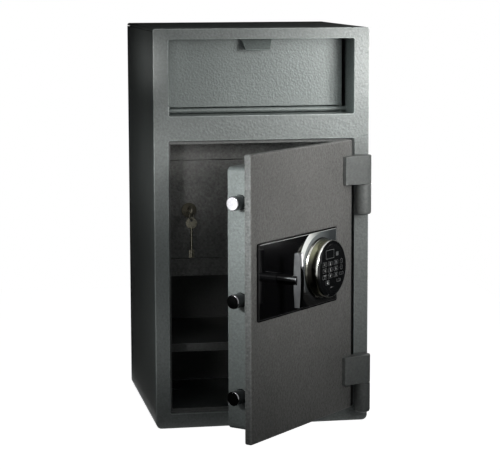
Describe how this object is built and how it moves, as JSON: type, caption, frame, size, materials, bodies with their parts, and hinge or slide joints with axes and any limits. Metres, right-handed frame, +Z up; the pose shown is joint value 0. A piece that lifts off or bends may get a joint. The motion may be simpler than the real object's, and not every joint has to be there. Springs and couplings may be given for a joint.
{
  "type": "drop safe",
  "caption": "Upright steel drop safe: tilting deposit hopper above a hinged bolted door with keypad and T-handle, key-locked inner locker and a shelf.",
  "frame": {"origin": "centre of the body's underside, on the floor plane", "axes": "+Z up, +X to the right seen from the front, front face towards -Y"},
  "size_m": [0.357, 0.5839, 0.655],
  "materials": {
    "body_paint": "textured dark grey powder coat",
    "door_paint": "textured warm grey powder coat",
    "hopper_paint": "textured grey powder coat",
    "inner_paint": "thin dark grey powder coat",
    "polished_steel": "turned, bright",
    "dark_steel": "oiled, dark",
    "nickel": "satin nickel plate",
    "cast_alloy": "as cast",
    "black_gloss": "polished black",
    "black_key": "matt black rubber-feel caps"
  },
  "bodies": {
    "cabinet": {"body_wrap": "body_paint", "top_plate": "body_paint", "back_plate": "body_paint", "front_frame": "body_paint", "door_jamb": "body_paint", "vault_ceiling": "inner_paint", "deposit_housing": "hopper_paint", "hopper_pivot_rod": "polished_steel", "antifish_baffle": "inner_paint", "locker_frame": "inner_paint", "locker_floor": "inner_paint", "locker_hinge_rod": "polished_steel", "shelf": "inner_paint", "shelf_rail_left": "inner_paint", "shelf_rail_right": "inner_paint", "hinge_barrel_lower": "body_paint", "hinge_barrel_upper": "body_paint"},
    "hopper": {"hopper_face": "hopper_paint", "hopper_cheek_left": "hopper_paint", "hopper_cheek_right": "hopper_paint", "hopper_tray": "hopper_paint"},
    "locker_leaf": {"locker_door": "inner_paint", "locker_lock_case": "dark_steel", "locker_escutcheon": "nickel"},
    "key_in_lock": {"locker_key": "nickel"},
    "hanging_key": {"key_ring": "polished_steel", "spare_key": "nickel"},
    "locker_bolt": {"locker_lock_bolt": "polished_steel"},
    "door": {"door_plate": "door_paint", "boltwork_casing": "door_paint", "boltwork_cover": "door_paint", "hinge_leaf_lower": "door_paint", "hinge_leaf_upper": "door_paint", "lock_case": "cast_alloy", "hard_plate": "dark_steel", "escutcheon_panel": "black_gloss", "keypad_housing": "nickel", "keypad_face": "black_gloss"},
    "handle": {"t_handle": "nickel", "crank_cam": "dark_steel"},
    "boltwork": {"bolt_carriage": "dark_steel", "bolt_lower": "polished_steel", "bolt_middle": "polished_steel", "bolt_upper": "polished_steel"},
    "lock_bolt_slide": {"lock_bolt": "nickel"},
    "button_1": {"key_1": "black_key"},
    "button_2": {"key_2": "black_key"},
    "button_3": {"key_3": "black_key"},
    "button_cancel": {"key_cancel": "black_key"},
    "button_4": {"key_4": "black_key"},
    "button_5": {"key_5": "black_key"},
    "button_6": {"key_6": "black_key"},
    "button_program": {"key_program": "black_key"},
    "button_7": {"key_7": "black_key"},
    "button_8": {"key_8": "black_key"},
    "button_9": {"key_9": "black_key"},
    "button_clear": {"key_clear": "black_key"},
    "button_0": {"key_0": "black_key"},
    "button_enter": {"key_enter": "black_key"}
  },
  "joints": [
    {"name": "main_door", "type": "hinge", "parent": "cabinet", "child": "door", "pos_m": [0.166, -0.1883, 0.25], "axis": [0, 0, 1], "range_deg": [-46.5, 133.5]},
    {"name": "handle_turn", "type": "hinge", "parent": "door", "child": "handle", "pos_m": [-0.01092, -0.35541, 0.276], "axis": [0.7254, -0.6884, 0], "range_deg": [0, 80]},
    {"name": "bolt_throw", "type": "slide", "parent": "door", "child": "boltwork", "axis": [-0.6884, -0.7254, 0], "range_m": [0, 0.02]},
    {"name": "lock_bolt_rise", "type": "slide", "parent": "door", "child": "lock_bolt_slide", "axis": [0, 0, 1], "range_m": [0, 0.01]},
    {"name": "hopper_tilt", "type": "hinge", "parent": "cabinet", "child": "hopper", "pos_m": [0, -0.116, 0.519], "axis": [1, 0, 0], "range_deg": [0, 50]},
    {"name": "locker_swing", "type": "hinge", "parent": "cabinet", "child": "locker_leaf", "pos_m": [0.1435, -0.062, 0.348], "axis": [0, 0, 1], "range_deg": [0, 38]},
    {"name": "key_turn", "type": "hinge", "parent": "locker_leaf", "child": "key_in_lock", "pos_m": [-0.105, -0.0913, 0.3476], "axis": [0, -1, 0], "range_deg": [0, 90]},
    {"name": "locker_bolt_throw", "type": "slide", "parent": "locker_leaf", "child": "locker_bolt", "axis": [-1, 0, 0], "range_m": [0, 0.009]},
    {"name": "spare_key_swing", "type": "hinge", "parent": "key_in_lock", "child": "hanging_key", "pos_m": [-0.105, -0.0913, 0.3476], "axis": [1, 0, 0], "range_deg": [-11, 8]},
    {"name": "press_1", "type": "slide", "parent": "door", "child": "button_1", "axis": [-0.7254, 0.6884, 0], "range_m": [0, 0.0008], "stiffness_N_per_m": 300, "springref_m": -0.001},
    {"name": "press_2", "type": "slide", "parent": "door", "child": "button_2", "axis": [-0.7254, 0.6884, 0], "range_m": [0, 0.0008], "stiffness_N_per_m": 300, "springref_m": -0.001},
    {"name": "press_3", "type": "slide", "parent": "door", "child": "button_3", "axis": [-0.7254, 0.6884, 0], "range_m": [0, 0.0008], "stiffness_N_per_m": 300, "springref_m": -0.001},
    {"name": "press_cancel", "type": "slide", "parent": "door", "child": "button_cancel", "axis": [-0.7254, 0.6884, 0], "range_m": [0, 0.0008], "stiffness_N_per_m": 300, "springref_m": -0.001},
    {"name": "press_4", "type": "slide", "parent": "door", "child": "button_4", "axis": [-0.7254, 0.6884, 0], "range_m": [0, 0.0008], "stiffness_N_per_m": 300, "springref_m": -0.001},
    {"name": "press_5", "type": "slide", "parent": "door", "child": "button_5", "axis": [-0.7254, 0.6884, 0], "range_m": [0, 0.0008], "stiffness_N_per_m": 300, "springref_m": -0.001},
    {"name": "press_6", "type": "slide", "parent": "door", "child": "button_6", "axis": [-0.7254, 0.6884, 0], "range_m": [0, 0.0008], "stiffness_N_per_m": 300, "springref_m": -0.001},
    {"name": "press_program", "type": "slide", "parent": "door", "child": "button_program", "axis": [-0.7254, 0.6884, 0], "range_m": [0, 0.0008], "stiffness_N_per_m": 300, "springref_m": -0.001},
    {"name": "press_7", "type": "slide", "parent": "door", "child": "button_7", "axis": [-0.7254, 0.6884, 0], "range_m": [0, 0.0008], "stiffness_N_per_m": 300, "springref_m": -0.001},
    {"name": "press_8", "type": "slide", "parent": "door", "child": "button_8", "axis": [-0.7254, 0.6884, 0], "range_m": [0, 0.0008], "stiffness_N_per_m": 300, "springref_m": -0.001},
    {"name": "press_9", "type": "slide", "parent": "door", "child": "button_9", "axis": [-0.7254, 0.6884, 0], "range_m": [0, 0.0008], "stiffness_N_per_m": 300, "springref_m": -0.001},
    {"name": "press_clear", "type": "slide", "parent": "door", "child": "button_clear", "axis": [-0.7254, 0.6884, 0], "range_m": [0, 0.0008], "stiffness_N_per_m": 300, "springref_m": -0.001},
    {"name": "press_0", "type": "slide", "parent": "door", "child": "button_0", "axis": [-0.7254, 0.6884, 0], "range_m": [0, 0.0008], "stiffness_N_per_m": 300, "springref_m": -0.001},
    {"name": "press_enter", "type": "slide", "parent": "door", "child": "button_enter", "axis": [-0.7254, 0.6884, 0], "range_m": [0, 0.0008], "stiffness_N_per_m": 300, "springref_m": -0.001}
  ],
  "couplings": [
    {"joint": "bolt_throw", "follows": "handle_turn", "m_per_rad": 0.014323},
    {"joint": "lock_bolt_rise", "follows": "handle_turn", "m_per_rad": 0.007161},
    {"joint": "locker_bolt_throw", "follows": "key_turn", "m_per_rad": 0.005729}
  ]
}
